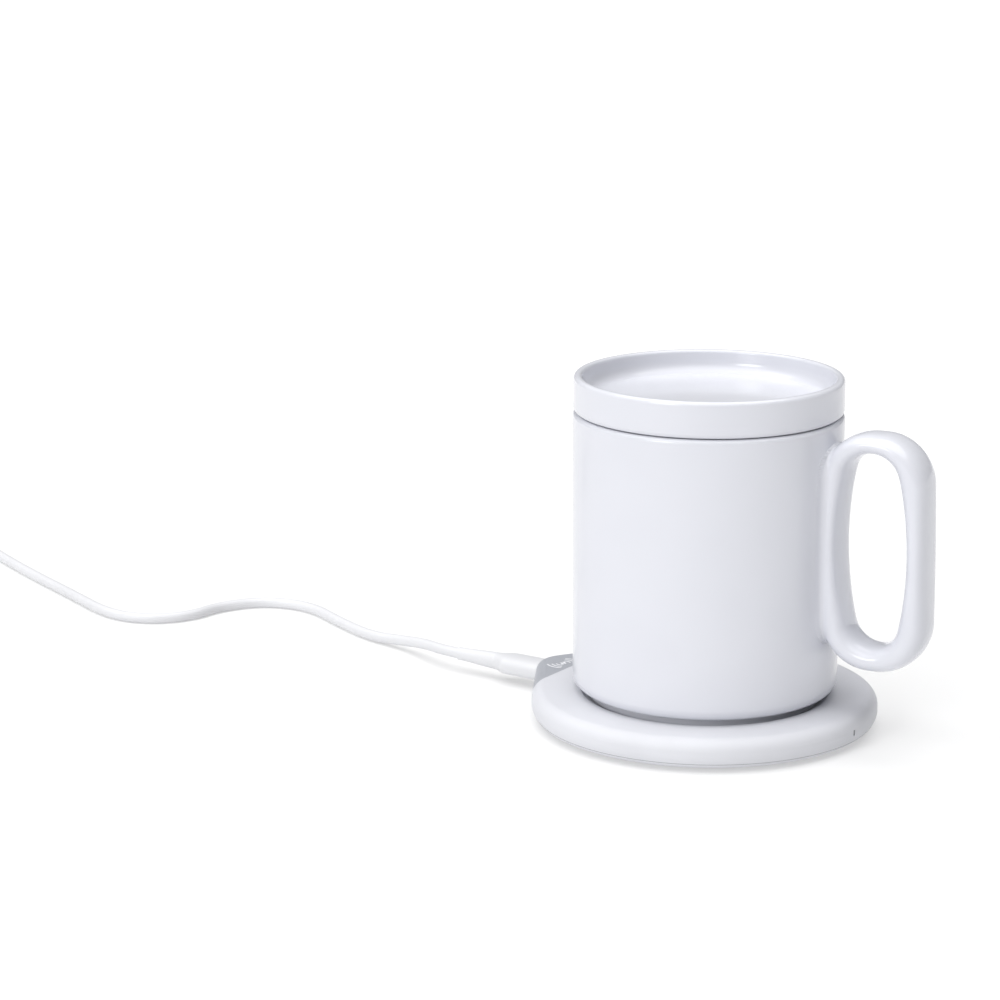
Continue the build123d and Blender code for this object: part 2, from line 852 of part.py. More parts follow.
with BuildPart() as cord_coil:
    with BuildSketch(Plane(origin=(*coil_spot, 0), x_dir=(1, 0, 0), z_dir=(0, -1, 0))):
        with Locations((coil_mean_radius, coil_height / 2)):
            RectangleRounded(coil_width, coil_height, 0.9 * cord_radius)
    revolve(axis=coil_axis)
    add(coil_tie.part, mode=Mode.SUBTRACT)

with BuildPart() as usb_a_strain_relief:
    with BuildSketch(usb_plane(usb_relief_y)):
        Circle(relief_end_radius)
    with BuildSketch(usb_plane(usb_relief_y - usb_relief_length)):
        Circle(relief_start_radius)
    loft()

usb_housing_y = usb_relief_y - usb_relief_length
usb_shell_y = usb_housing_y - usb_housing_length
with BuildPart() as usb_a_housing:
    with BuildSketch(usb_plane(usb_housing_y)):
        RectangleRounded(usb_housing_width, usb_housing_tall, usb_housing_corner)
    extrude(amount=usb_housing_length)
    fillet(usb_a_housing.faces().sort_by(Axis.Y)[-1].edges(), usb_housing_corner * 0.8)

with BuildPart() as usb_a_shell:
    with BuildSketch(usb_plane(usb_shell_y)):
        RectangleRounded(usb_shell_width, usb_shell_tall, 2 * usb_shell_sheet)
        RectangleRounded(
            usb_shell_width - 2 * usb_shell_sheet,
            usb_shell_tall - 2 * usb_shell_sheet,
            usb_shell_sheet,
            mode=Mode.SUBTRACT,
        )
    extrude(amount=usb_shell_length)

usb_tongue_height = usb_shell_tall / 2 - usb_shell_sheet - usb_tongue_tall / 2
with BuildPart() as usb_a_tongue:
    with BuildSketch(usb_plane(usb_shell_y)):
        with Locations((0, usb_tongue_height)):
            Rectangle(usb_tongue_width, usb_tongue_tall)
    extrude(amount=usb_tongue_length)

with BuildPart() as usb_a_contacts:
    with BuildSketch(usb_plane(usb_shell_y)):
        with Locations((0, usb_tongue_height - usb_tongue_tall / 2 - usb_contact_thick / 2)):
            with GridLocations(usb_contact_pitch, usb_contact_thick, usb_contact_count, 1):
                Rectangle(usb_contact_width, usb_contact_thick)
    extrude(amount=usb_contact_length)

# ================================================================ files

pieces = {
    "top_shell": top_shell,
    "bottom_shell": bottom_shell,
    "corner_inlay": corner_inlay,
    "anti_slip_mat": anti_slip_mat,
    "case_screws": case_screws,
    "coil_carrier": coil_carrier,
    "ferrite_sheet": ferrite_sheet,
    "power_coil": power_coil,
    "coil_leads": coil_leads,
    "temperature_sensor": temperature_sensor,
    "circuit_board": circuit_board,
    "control_chip": control_chip,
    "power_inductor": power_inductor,
    "capacitors": capacitors,
    "indicator_led": indicator_led,
    "led_board": led_board,
    "led_ribbon": led_ribbon,
    "light_pipe": light_pipe,
    "usb_port_shell": usb_port_shell,
    "usb_port_tongue": usb_port_tongue,
    "plug_nose": plug_nose,
    "plug_housing": plug_housing,
    "plug_strain_relief": plug_strain_relief,
    "mug_body": mug_body,
    "mug_handle": mug_handle,
    "heating_disc": heating_disc,
    "lid": lid,
    "cord_run": cord_run,
    "cord_coil": cord_coil,
    "cord_tail": cord_tail,
    "coil_tie": coil_tie,
    "usb_a_strain_relief": usb_a_strain_relief,
    "usb_a_housing": usb_a_housing,
    "usb_a_shell": usb_a_shell,
    "usb_a_tongue": usb_a_tongue,
    "usb_a_contacts": usb_a_contacts,
}
for name, piece in pieces.items():
    piece.part.label = name
    export_step(piece.part, f"parts/{name}.step")

# facts about the lead
for name, points, length, piece in (
    ("cord_run", cord_points, run_length, cord_run),
    ("cord_tail", tail_points, tail_length, cord_tail),
):
    section = pi * cord_radius**2
    print(name, "length", round(length, 1), "volume over section times length",
          round(piece.part.volume / (section * length), 4))
    print("  radii", [round(radius, 1) for radius in bend_radii(points)])
coil_turn_share = coil_across * coil_layers - 1 + (coil_exit_angle - coil_entry_angle) / 360
coil_length = coil_turn_share * 2 * pi * coil_mean_radius
print("coil length", round(coil_length, 1), "whole lead",
      round(run_length + coil_length + tail_length, 1))
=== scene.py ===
"""Electric mug warmer: a warming pad with its plug-in lead, a glazed mug and its dished lid.

Shapes are worked out in millimetres and put into their meshes in metres. The origin is the middle
of the pad's round body, on the table. +Z is up, the pad's corner with the lead points along -X,
and the mug's handle points close to +X.
"""

import bpy
import numpy as np
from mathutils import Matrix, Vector


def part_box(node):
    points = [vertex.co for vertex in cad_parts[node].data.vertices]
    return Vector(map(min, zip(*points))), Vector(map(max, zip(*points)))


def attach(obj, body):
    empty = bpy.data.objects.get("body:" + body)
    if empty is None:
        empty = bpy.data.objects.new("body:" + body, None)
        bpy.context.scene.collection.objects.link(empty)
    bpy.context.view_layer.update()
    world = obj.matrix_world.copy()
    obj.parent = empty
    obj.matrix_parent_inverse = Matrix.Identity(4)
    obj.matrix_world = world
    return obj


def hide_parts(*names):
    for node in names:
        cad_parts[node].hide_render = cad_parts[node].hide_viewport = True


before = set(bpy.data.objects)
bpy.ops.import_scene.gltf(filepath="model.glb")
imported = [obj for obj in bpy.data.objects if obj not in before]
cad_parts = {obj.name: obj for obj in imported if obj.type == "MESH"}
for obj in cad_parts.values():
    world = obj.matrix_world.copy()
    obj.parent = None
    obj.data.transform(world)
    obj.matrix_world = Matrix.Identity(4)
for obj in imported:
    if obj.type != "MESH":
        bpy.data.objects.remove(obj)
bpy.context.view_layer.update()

MM = 0.001
FULL_TURN = 2 * np.pi
scene = bpy.context.scene


# ---------------------------------------------------------------- camera
def look_along(thing, direction):
    """Turns a camera or a lamp, which face along their own -Z, to face along a direction."""
    thing.rotation_euler = Vector(direction).to_track_quat("-Z", "Y").to_euler()


camera_data = bpy.data.cameras.new("camera")
camera_data.lens = 115.2
camera_data.sensor_width = 36.0
camera_data.clip_end = 60.0
camera = bpy.data.objects.new("camera", camera_data)
scene.collection.objects.link(camera)
camera.location = (0.47002, -0.79193, 0.29362)
look_along(camera, (-0.5501, 0.8003, -0.2385))
scene.camera = camera


# ---------------------------------------------------------------- finishes
class Value:
    """What comes out of one node of a finish. Its operators add Math nodes."""

    def __init__(self, finish, socket):
        self.finish = finish
        self.socket = socket

    def __add__(self, other):
        return self.finish.math("ADD", self, other)

    def __sub__(self, other):
        return self.finish.math("SUBTRACT", self, other)

    def __rsub__(self, other):
        return self.finish.math("SUBTRACT", other, self)

    def __mul__(self, other):
        return self.finish.math("MULTIPLY", self, other)

    __radd__ = __add__
    __rmul__ = __mul__


class Finish:
    """A material with one Principled shader, and the nodes of its pattern."""

    def __init__(self, name):
        self.material = bpy.data.materials.new(name)
        self.material.use_nodes = True
        self.tree = self.material.node_tree
        self.shader = self.tree.nodes["Principled BSDF"]
        self.place = self.node("ShaderNodeTexCoord", output="Object")

    def node(self, kind, settings=None, inputs=None, output=0):
        """Adds a node, its settings first and then the values or links of its sockets."""
        made = self.tree.nodes.new(kind)
        for setting, value in (settings or {}).items():
            setattr(made, setting, value)
        for socket, value in (inputs or {}).items():
            self.feed(made.inputs[socket], value)
        return Value(self, made.outputs[output])

    def feed(self, socket, value):
        if isinstance(value, Value):
            self.tree.links.new(value.socket, socket)
        else:
            socket.default_value = value

    def math(self, operation, *values):
        return self.node("ShaderNodeMath", {"operation": operation}, dict(enumerate(values)))

    def blend(self, share, first, second):
        """Colour between first and second."""
        sockets = {0: share, 6: first, 7: second}
        return self.node("ShaderNodeMix", {"data_type": "RGBA"}, sockets, output=2)

    def rise(self, value, low, high):
        """0 below low, 1 above high, and smooth between them."""
        sockets = {"Value": value, "From Min": low, "From Max": high}
        return self.node("ShaderNodeMapRange", {"interpolation_type": "SMOOTHSTEP"}, sockets)

    def grain(self, cells, detail=2.0, place=None):
        """Noise about 0.5, with that many cells to the metre."""
        sockets = {"Vector": place or self.place, "Scale": cells, "Detail": detail}
        return self.node("ShaderNodeTexNoise", None, sockets)

    def coordinate(self, axis):
        """One coordinate of the place, in metres."""
        return self.node("ShaderNodeSeparateXYZ", None, {0: self.place}, output=axis)

    def rings(self, pitch):
        """Waves from 0 to 1 outwards from the z axis, one for each pitch in millimetres."""
        x = self.coordinate("X")
        y = self.coordinate("Y")
        off_axis = self.math("SQRT", x * x + y * y)
        return self.math("SINE", off_axis * (FULL_TURN / (pitch * MM))) * 0.5 + 0.5

    def stretched(self, x, y, z):
        """The place with its three directions scaled."""
        sockets = {0: self.place, 1: (x, y, z)}
        return self.node("ShaderNodeVectorMath", {"operation": "MULTIPLY"}, sockets)

    def relief(self, height, depth):
        """Bump of a height from 0 to 1 over a depth in millimetres."""
        return self.node("ShaderNodeBump", None, {"Distance": depth * MM, "Height": height})

    def shade(self, **sockets):
        """Feeds the shader; a socket's name is written with _ for each space."""
        for name, value in sockets.items():
            self.feed(self.shader.inputs[name.replace("_", " ")], value)
        return self.material


def grey(level, cool=0.0):
    """Grey of that level, a little bluer where cool is over 0."""
    return (level * (1 - cool), level * (1 - 0.85 * cool), level, 1.0)


def opaque(red, green, blue):
    """Colour as the shader takes it."""
    return (red, green, blue, 1.0)


def deeper(colour, share):
    """The colour with its parts brought down to a share."""
    return opaque(*(share * part for part in colour[:3]))


GLAZE = grey(0.745, 0.08)
GLAZE_DEEP = grey(0.735, 0.082)
BARE_CLAY = opaque(0.62, 0.60, 0.565)
CASE = grey(0.73, 0.062)
LEAD = grey(0.725, 0.035)
TIN = opaque(0.78, 0.77, 0.74)
GLAZE_LINE = (8.9 * MM, 9.4 * MM)  # the clay is bare below, and glazed above


def moulded_plastic(name, colour, roughness, sparks=1100.0, depth=0.006, coat=0.0):
    """Moulded plastic: fine spark texture, faint cloudiness, and gloss that varies a little."""
    finish = Finish(name)
    sparks_grain = finish.grain(sparks, 3.0)
    cloud = finish.grain(38.0, 3.0)
    return finish.shade(
        Base_Color=finish.blend(finish.rise(cloud, 0.3, 0.75), colour, deeper(colour, 0.955)),
        Roughness=roughness + 0.10 * cloud + 0.06 * sparks_grain - 0.08,
        Normal=finish.relief(sparks_grain, depth),
        Coat_Weight=coat,
        Specular_IOR_Level=0.35,
    )


def glazed_ceramic():
    """Gloss glaze: slow waves, a faint orange peel, and the bare clay of the foot's underside."""
    finish = Finish("white_glaze")
    wave = finish.grain(48.0, 1.0)
    peel = finish.grain(650.0, 2.0)
    bare = 1.0 - finish.rise(finish.coordinate("Z") + 0.6 * MM * peel, *GLAZE_LINE)
    tone = finish.blend(finish.rise(wave, 0.35, 0.7), GLAZE, GLAZE_DEEP)
    return finish.shade(
        Base_Color=finish.blend(bare, tone, BARE_CLAY),
        Roughness=0.15 + 0.06 * peel + 0.5 * bare,
        Coat_Weight=0.14 - 0.14 * bare,
        Coat_Roughness=0.07,
        Specular_IOR_Level=0.4,
        Normal=finish.relief(wave + 0.015 * peel, 0.10),
    )


def brushed_metal(name, colour, roughness, direction):
    """Metal with fine scratches that run along the axes whose factor is small."""
    finish = Finish(name)
    scratch = finish.grain(2600.0, 2.0, finish.stretched(*direction))
    cloud = finish.grain(120.0, 2.0)
    worn = finish.rise(cloud + 0.3 * scratch, 0.4, 0.95)
    return finish.shade(
        Base_Color=finish.blend(worn, colour, deeper(colour, 0.8)),
        Metallic=1.0,
        Roughness=roughness + 0.16 * scratch - 0.06,
        Normal=finish.relief(scratch, 0.01),
    )


def turned_metal(name, colour, roughness, pitch):
    """Metal disc with the fine rings of its turning, about the z axis."""
    finish = Finish(name)
    ring = finish.rings(pitch)
    cloud = finish.grain(90.0, 3.0)
    return finish.shade(
        Base_Color=finish.blend(finish.rise(cloud, 0.3, 0.8), colour, deeper(colour, 0.78)),
        Metallic=1.0,
        Roughness=roughness - 0.05 + 0.1 * ring + 0.1 * cloud,
        Normal=finish.relief(ring, 0.006),
    )


def ribbed_rubber():
    """Silicone mat: concentric fine grooves and a dusty sheen."""
    finish = Finish("mat_silicone")
    groove = finish.rise(finish.rings(2.2), 0.775, 0.975)
    dust = finish.grain(260.0, 4.0)
    clean, dusty = opaque(0.085, 0.088, 0.094), opaque(0.15, 0.152, 0.158)
    return finish.shade(
        Base_Color=finish.blend(finish.rise(dust, 0.35, 0.8), clean, dusty),
        Roughness=0.62 + 0.2 * dust,
        Normal=finish.relief(groove + 0.1 * dust, 0.12),
    )


def wound_copper():
    """Flat winding: strands that follow the rings, with enamel of uneven depth."""
    finish = Finish("enamelled_copper")
    enamel = finish.grain(700.0, 3.0)
    thin, thick = opaque(0.72, 0.30, 0.13), opaque(0.50, 0.17, 0.07)
    return finish.shade(
        Base_Color=finish.blend(enamel, thin, thick),
        Metallic=0.9,
        Roughness=0.28 + 0.2 * enamel,
        Normal=finish.relief(finish.rings(0.42), 0.08),
    )


def circuit_board_finish():
    """Solder mask over straight traces, with small round tinned pads."""
    finish = Finish("solder_mask")
    dots = {"Vector": finish.place, "Scale": 620.0, "Randomness": 0.55}
    distance = finish.node("ShaderNodeTexVoronoi", {"feature": "F1"}, dots)
    brick = {
        "Vector": finish.place,
        "Color1": grey(0.0),
        "Color2": grey(0.35),
        "Mortar": grey(1.0),
        "Scale": 180.0,
        "Mortar Size": 0.03,
        "Brick Width": 0.9,
        "Row Height": 0.22,
    }
    trace = finish.node("ShaderNodeTexBrick", None, brick)
    tinned = 1.0 - finish.rise(distance, 0.10, 0.14)
    mask = finish.blend(trace, opaque(0.012, 0.105, 0.05), opaque(0.03, 0.2, 0.09))
    return finish.shade(
        Base_Color=finish.blend(tinned, mask, opaque(0.72, 0.70, 0.64)),
        Metallic=tinned * 0.9,
        Roughness=0.34 + 0.1 * finish.grain(300.0),
        Normal=finish.relief(trace + tinned, 0.03),
    )


def speckled(name, colour, fleck_colour, cells, roughness, share=0.35, metallic=0.0, depth=0.02):
    """Pressed or filled material: flecks of a second colour in the first."""
    finish = Finish(name)
    fleck = finish.rise(finish.grain(cells, 3.0), 0.66 - share * 0.4, 0.74)
    cloud = finish.grain(cells * 0.1, 2.0)
    return finish.shade(
        Base_Color=finish.blend(fleck, colour, fleck_colour),
        Metallic=metallic,
        Roughness=roughness + 0.12 * cloud,
        Normal=finish.relief(fleck + 0.3 * cloud, depth),
    )


def ribbon_painted_shade():
    """Flat cable: insulated wires side by side, along the ribbon's arc. Its colour has painted
    shade in the grooves between the wires and is painted lighter on their crowns.
    """
    finish = Finish("flat_cable")
    wire = finish.rings(0.5)
    # painted shade between the wires, and painted light on their crowns
    shaded_gap, lit_crown = opaque(0.50, 0.51, 0.54), opaque(0.80, 0.81, 0.83)
    return finish.shade(
        Base_Color=finish.blend(wire, shaded_gap, lit_crown),
        Roughness=0.4 + 0.1 * finish.grain(400.0),
        Normal=finish.relief(wire, 0.1),
    )


def capacitor_finish():
    """Ceramic bodies with tinned ends, which line up because the four lie side by side."""
    finish = Finish("capacitor_ceramic")
    low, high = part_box("capacitors")
    middle = (low.x + high.x) / 2
    half = (high.x - low.x) / 2
    off_middle = finish.math("ABSOLUTE", finish.coordinate("X") - middle)
    end = finish.rise(off_middle, half - 0.6 * MM, half - 0.5 * MM)
    fleck = finish.grain(1500.0, 3.0)
    body = finish.blend(fleck, opaque(0.42, 0.27, 0.16), opaque(0.31, 0.19, 0.11))
    return finish.shade(
        Base_Color=finish.blend(end, body, TIN),
        Metallic=end,
        Roughness=0.45 - 0.15 * end + 0.1 * fleck,
        Normal=finish.relief(fleck, 0.01),
    )


glaze = glazed_ceramic()
case_plastic = moulded_plastic("case_plastic", CASE, 0.52)
inlay_paint = speckled(
    "inlay_paint",
    opaque(0.455, 0.47, 0.51),
    opaque(0.515, 0.53, 0.57),
    5200.0,
    0.38,
    share=0.5,
    metallic=0.2,
    depth=0.004,
)
print_white = moulded_plastic(
    "printed_sign", grey(0.88, 0.03), 0.5, sparks=1600.0, depth=0.003
)
lead_plastic = moulded_plastic("lead_sheath", LEAD, 0.44, sparks=1700.0)
tie_plastic = moulded_plastic("tie_plastic", grey(0.62, 0.05), 0.5, sparks=900.0, depth=0.02)
pipe_plastic = moulded_plastic(
    "smoky_light_pipe", opaque(0.09, 0.095, 0.105), 0.22, sparks=1500.0, depth=0.002, coat=0.3
)
rubber = ribbed_rubber()
steel = brushed_metal("connector_steel", opaque(0.50, 0.505, 0.515), 0.27, (0.08, 1.0, 1.0))
screw_steel = turned_metal("screw_steel", opaque(0.30, 0.30, 0.31), 0.34, pitch=1.111)
disc_steel = turned_metal("disc_steel", opaque(0.60, 0.605, 0.61), 0.26, pitch=0.667)
brass = brushed_metal("gilt_contact", opaque(0.86, 0.66, 0.30), 0.24, (1.0, 0.08, 1.0))
copper = wound_copper()
ferrite = speckled(
    "ferrite", opaque(0.045, 0.045, 0.05), opaque(0.10, 0.10, 0.105), 2400.0, 0.55
)
carrier = moulded_plastic(
    "carrier_plastic", opaque(0.17, 0.175, 0.18), 0.5, sparks=1300.0, depth=0.012
)
board = circuit_board_finish()
chip = speckled(
    "chip_epoxy", opaque(0.022, 0.022, 0.024), opaque(0.05, 0.05, 0.052), 3600.0, 0.5
)
capacitor = capacitor_finish()
led_plastic = moulded_plastic(
    "led_lens", opaque(0.86, 0.84, 0.70), 0.2, sparks=2000.0, depth=0.002, coat=0.5
)
ribbon = ribbon_painted_shade()
sensor = speckled(
    "sensor_bead", opaque(0.03, 0.028, 0.026), opaque(0.08, 0.07, 0.06), 1800.0, 0.25
)
# dark grey that paints the shade of the seam between the two case halves
painted_seam_shade = moulded_plastic(
    "painted_seam_shade", opaque(0.36, 0.365, 0.38), 0.6, sparks=1800.0, depth=0.004
)
contact_plastic = moulded_plastic("contact_block", grey(0.80), 0.42, sparks=1500.0)
black_plastic = moulded_plastic(
    "port_block", opaque(0.035, 0.035, 0.038), 0.42, sparks=1500.0
)

node_finishes = {
    "top_shell": case_plastic,
    "bottom_shell": case_plastic,
    "corner_inlay": inlay_paint,
    "anti_slip_mat": rubber,
    "case_screws": screw_steel,
    "coil_carrier": carrier,
    "ferrite_sheet": ferrite,
    "power_coil": copper,
    "coil_leads": copper,
    "temperature_sensor": sensor,
    "circuit_board": board,
    "control_chip": chip,
    "power_inductor": ferrite,
    "capacitors": capacitor,
    "indicator_led": led_plastic,
    "led_board": board,
    "led_ribbon": ribbon,
    "light_pipe": pipe_plastic,
    "usb_port_shell": steel,
    "usb_port_tongue": black_plastic,
    "plug_nose": steel,
    "plug_housing": lead_plastic,
    "plug_strain_relief": lead_plastic,
    "mug_body": glaze,
    "mug_handle": glaze,
    "heating_disc": disc_steel,
    "lid": glaze,
    "cord_run": lead_plastic,
    "cord_coil": lead_plastic,
    "cord_tail": lead_plastic,
    "coil_tie": tie_plastic,
    "usb_a_strain_relief": lead_plastic,
    "usb_a_housing": lead_plastic,
    "usb_a_shell": steel,
    "usb_a_tongue": contact_plastic,
    "usb_a_contacts": brass,
}
for node_name, node_finish in node_finishes.items():
    node_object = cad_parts[node_name]
    if not node_object.material_slots:
        node_object.data.materials.append(node_finish)
    for material_slot in node_object.material_slots:
        material_slot.material = node_finish

# ---------------------------------------------------------------- surfaces
SHARP_EDGE = 38.0  # degrees between two faces, from which their edge is drawn sharp
FLAT_MARGIN = 0.3  # width of the strip beside each end of a profile's long runs


def bend(across, level, radius, start, end, count=9):
    """Arc of a profile about (across, level), from one angle to another in degrees."""
    turn = np.radians(np.linspace(start, end, count))
    return np.stack([across + radius * np.cos(turn), level + radius * np.sin(turn)], axis=1)


def joined(*parts):
    """One profile out of arcs and single points, in order, with two more points near the ends of
    each long run, so that a flat stays flat beside its rounded edges."""
    profile = np.vstack([np.atleast_2d(part) for part in parts]).astype(float)
    step = np.diff(profile, axis=0)
    length = np.hypot(*step.T)
    apart = length > 1e-6
    profile = profile[np.r_[True, apart]]
    step, length = step[apart], length[apart]
    long = length > 4 * FLAT_MARGIN
    nudge = step[long] * (FLAT_MARGIN / length[long, None])
    extra = np.stack([profile[:-1][long] + nudge, profile[1:][long] - nudge], axis=1)
    places = np.repeat(np.flatnonzero(long) + 1, 2)
    return np.insert(profile, places, extra.reshape(-1, 2), axis=0)


def around(count):
    """Angles that go once round, without the last, which is the first again."""
    return np.linspace(0, FULL_TURN, count, endpoint=False)


def turned(profile, count=224):
    """Surface of revolution: each (radius, level) of the profile goes round the z axis."""
    turn = around(count)
    radius, level = profile.T[:, :, None]
    return np.stack([radius * np.cos(turn), radius * np.sin(turn), level + 0 * turn], axis=-1)


def squared(wave, power):
    """A cosine or sine whose size is raised to 2 over the power, for a squared oval. Power 2 is
    an ellipse, and above 2 the corners fill out."""
    return np.sign(wave) * np.abs(wave) ** (2 / power)


def skin(grid, closed=False):
    """Points and faces over a grid (rows, columns, 3) whose columns run round. The rows run round
    too where closed is true, and otherwise a middle point closes the first and the last row.
    Faces point outwards: where the enclosed volume comes out negative, they are all turned."""
    rows, columns = grid.shape[:2]
    points = grid.reshape(-1, 3)
    index = np.arange(rows * columns).reshape(rows, columns)
    if closed:
        index = np.vstack([index, index[:1]])
    after = np.roll(index, -1, axis=1)
    quads = np.stack([index[:-1], after[:-1], after[1:], index[1:]], axis=-1).reshape(-1, 4)
    fans = np.zeros((0, 3), int)
    if not closed:
        points = np.vstack([points, grid[0].mean(0), grid[-1].mean(0)])
        first = np.full(columns, rows * columns)
        start = np.stack([after[0], index[0], first], axis=-1)
        end = np.stack([index[-1], after[-1], first + 1], axis=-1)
        fans = np.vstack([start, end])
    triangles = np.vstack([quads[:, :3], quads[:, [0, 2, 3]], fans])
    a, b, c = points[triangles].transpose(1, 0, 2)
    order = 1 if np.einsum("ij,ij->i", a, np.cross(b, c)).sum() > 0 else -1
    return points, quads[:, ::order].tolist() + fans[:, ::order].tolist()


def linked(name, data):
    """The scene's object for a mesh or a curve."""
    made = bpy.data.objects.new(name, data)
    scene.collection.objects.link(made)
    return made


def put(name, surface, finish, body, slot, *replaced):
    """Puts points in millimetres and their faces into a mesh that rides on a body."""
    points, faces = surface
    mesh = bpy.data.meshes.new(name)
    mesh.from_pydata((points * MM).tolist(), [], faces)
    mesh.polygons.foreach_set("use_smooth", np.ones(len(mesh.polygons), bool))
    mesh.set_sharp_from_angle(angle=np.radians(SHARP_EDGE))
    mesh.materials.append(finish)
    piece = linked(name, mesh)
    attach(piece, body)
    if replaced:
        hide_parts(*replaced)
    return piece


# ---------------------------------------------------------------- mug
POLE = 0.4  # radius at which a turned profile starts and ends
FOOT_LEVEL, RIM_LEVEL = 14.9, 93.5  # the wall runs from the top of its lower rounding to its rim

mug_profile = joined(
    (POLE, 11.4),  # underside, inside the foot ring
    bend(30.5, 10.9, 0.5, 90, 0, 5),
    bend(31.8, 9.2, 0.8, 180, 270, 7),  # foot ring
    bend(34.0, 9.2, 0.8, 270, 360, 7),
    bend(35.4, 10.8, 0.6, 180, 90, 5),
    bend(36.0, FOOT_LEVEL, 3.5, -90, 0, 17),  # lower rounding of the wall
    (39.75, 54.2),
    bend(38.6, RIM_LEVEL, 1.4, 0, 90, 11),  # rim
    bend(38.4, RIM_LEVEL, 1.4, 90, 180, 11),
    (36.75, 58.0),
    bend(30.5, 22.0, 6.0, 0, -90, 19),  # rounding round the floor
    (POLE, 16.0),
)
put("mug_cup", skin(turned(mug_profile)), glaze, "mug", "glaze", "mug_body")

# The handle is worked out over +X and then turned. Its forms have a middle (x, z), and a size:
# half width, half height and the radius of the ends or corners.
HANDLE_TURN = np.radians(8.0)
LEAN, LEAN_LEVEL = 0.018, 59.0  # it leans inwards with its height, about this level
HOLE, HOLE_SIZE = (53.46, 59.3), (10.1, 28.6, 7.6)
OUTLINE, OUTLINE_SIZE = (53.8, 58.5), (16.2, 35.2, 15.0)
LINE, LINE_SIZE = (53.2, 58.6), (13.2, 31.9)  # centre line of the strap
STRAP_HALF_WIDTH = 7.8
STRAP_POWER = 2.4  # squareness of the strap's section
STRAP_SCALE = 3.2  # turns the section's measure into about a distance from its face
LEAST_THICK = 2.0
WALL_RADIUS, WALL_FLARE = 39.46, 0.5  # just inside the cup's face at its foot, and what it gains
CUT_RADIUS = 38.4  # rays that go into the cup stop here, inside its wall
REACH_ASIDE = 12.0  # limit of the fillets, to either side
FILLET = 2.0
STEP = 0.12  # length of one step along a ray


def past_oval(x, z, half_width, half_height, end_radius):
    """Distance outside an oval of two slim side arcs and two end arcs; negative inside it."""
    x, z = np.abs(x), np.abs(z)
    rise = half_height - end_radius
    side_radius = (half_width**2 + rise**2 - end_radius**2) / (2 * (half_width - end_radius))
    back = side_radius - half_width
    beside = np.hypot(x + back, z) - side_radius
    above = np.hypot(x, z - rise) - end_radius
    return np.where(z * back > (x + back) * rise, above, beside)


def past_corners(x, z, half_width, half_height, radius):
    """Distance outside a rectangle with rounded corners; negative inside it."""
    x, z = np.abs(x) - half_width + radius, np.abs(z) - half_height + radius
    return np.hypot(np.maximum(x, 0), np.maximum(z, 0)) + np.minimum(np.maximum(x, z), 0) - radius


def past_glaze(x, y, z):
    """About the distance outside the glazed form; negative inside it. The handle's strap is what
    lies between an oval hole and a rounded outline, and its section is a full oval. Where strap
    and cup meet, the nearer of the two is rounded off into a fillet."""
    upright = x + LEAN * (z - LEAN_LEVEL)
    hole = past_oval(upright - HOLE[0], z - HOLE[1], *HOLE_SIZE)
    outline = past_corners(upright - OUTLINE[0], z - OUTLINE[1], *OUTLINE_SIZE)
    thick = np.maximum(hole - outline, LEAST_THICK)
    within = np.abs((hole + outline) / thick) ** STRAP_POWER
    beside = np.abs(y / STRAP_HALF_WIDTH) ** STRAP_POWER
    strap = ((within + beside) ** (1 / STRAP_POWER) - 1) * STRAP_SCALE
    off_axis = np.hypot(x, y)
    wall = off_axis - (WALL_RADIUS + WALL_FLARE * (z - FOOT_LEVEL) / (RIM_LEVEL - FOOT_LEVEL))
    near = np.clip(1 - np.abs(strap - wall) / FILLET, 0, 1)
    rounded = np.minimum(strap, wall) - near**2 * FILLET / 4
    return np.maximum(rounded, np.maximum(CUT_RADIUS - off_axis, np.abs(y) - REACH_ASIDE))


def handle_rays(rows=420, columns=192):
    """Starts and directions of rays from the handle's centre line, a squared oval of power 3. The
    rows stand closer together where the strap meets the cup, and each row's rays fan out as on an
    ellipse, square to the line."""
    turn = np.linspace(0, FULL_TURN, 4000)
    size = (np.abs(np.cos(turn)) ** 3 + np.abs(np.sin(turn)) ** 3) ** (-1 / 3)
    line_x = LINE[0] + LINE_SIZE[0] * np.cos(turn) * size
    line_z = LINE[1] + LINE_SIZE[1] * np.sin(turn) * size
    off_joint = np.abs(line_z - LINE[1]) - 27
    dense = 1 + 4 * (line_x < 50) * np.exp(-((off_joint / 5) ** 2))
    way = np.r_[0, np.cumsum(np.hypot(np.diff(line_x), np.diff(line_z)) * dense[1:])]
    even = np.linspace(0, way[-1], rows, endpoint=False)
    start_x = np.interp(even, way, line_x)[:, None]
    start_z = np.interp(even, way, line_z)[:, None]
    step_x = np.roll(start_x, -2, axis=0) - np.roll(start_x, 2, axis=0)
    step_z = np.roll(start_z, -2, axis=0) - np.roll(start_z, 2, axis=0)
    length = np.hypot(step_x, step_z)
    across = 3.4 * np.cos(around(columns))
    aside = 6.4 * np.sin(around(columns))
    across, aside = across / np.hypot(across, aside), aside / np.hypot(across, aside)
    ray = across * step_z / length, aside + 0 * length, -across * step_x / length
    return np.stack([start_x, 0 * start_x, start_z]), np.stack(ray)


def handle_loop():
    """Where the rays leave the glazed form. The first way out is found by marching outwards and
    then halving. A ray that would go on into the cup stops beneath its wall."""
    start, ray = handle_rays()
    inside = np.zeros(ray.shape[1:])
    for _ in range(130):
        ahead = inside + STEP
        inside = np.where(past_glaze(*(start + ahead * ray)) < 0, ahead, inside)
    outside = inside + STEP
    for _ in range(16):
        middle = (inside + outside) / 2
        out = past_glaze(*(start + middle * ray)) > 0
        inside, outside = np.where(out, inside, middle), np.where(out, middle, outside)
    x, y, z = start + outside * ray
    c, s = np.cos(HANDLE_TURN), np.sin(HANDLE_TURN)
    return np.stack([x * c - y * s, x * s + y * c, z], axis=-1)


put("mug_loop", skin(handle_loop(), closed=True), glaze, "mug", "glaze", "mug_handle")

